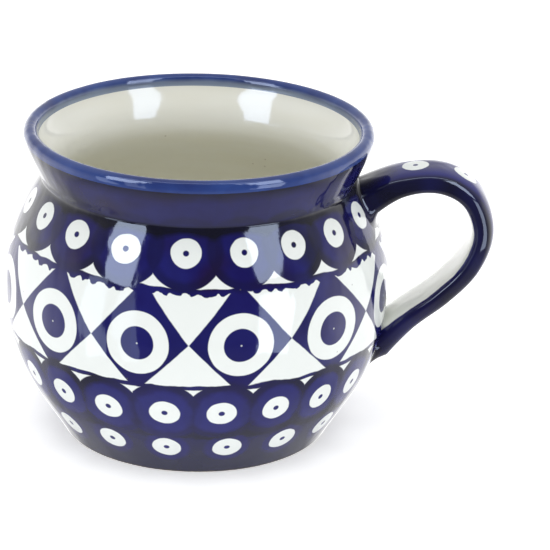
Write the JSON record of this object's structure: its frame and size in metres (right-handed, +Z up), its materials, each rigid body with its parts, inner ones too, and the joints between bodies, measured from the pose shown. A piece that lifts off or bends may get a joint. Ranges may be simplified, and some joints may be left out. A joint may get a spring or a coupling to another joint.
{
  "type": "bellied stoneware mug",
  "caption": "Bellied stoneware mug with a flared neck, a strap handle and a plain foot ring, stamped with cobalt diamonds and eyelets under a clear glaze.",
  "frame": {"origin": "centre of the foot ring, in the plane that it stands on", "axes": "+Z up the mug's axis, +X from the axis towards the handle, +Y to the left of the handle seen from above"},
  "size_m": [0.1252, 0.099, 0.081],
  "materials": {
    "clay": "matte",
    "cobalt_slip": "gloss",
    "cream_glaze": "gloss",
    "decorated_glaze": "gloss",
    "band_glaze": "gloss",
    "handle_glaze": "gloss"
  },
  "bodies": {
    "root": {"body": "clay", "handle": "clay", "upper_slip_joint": "cobalt_slip", "lower_slip_joint": "cobalt_slip", "inside_glaze": "cream_glaze", "outside_glaze": "decorated_glaze", "rim_band": "band_glaze", "handle_glaze": "handle_glaze", "base_glaze": "cream_glaze"}
  },
  "joints": []
}
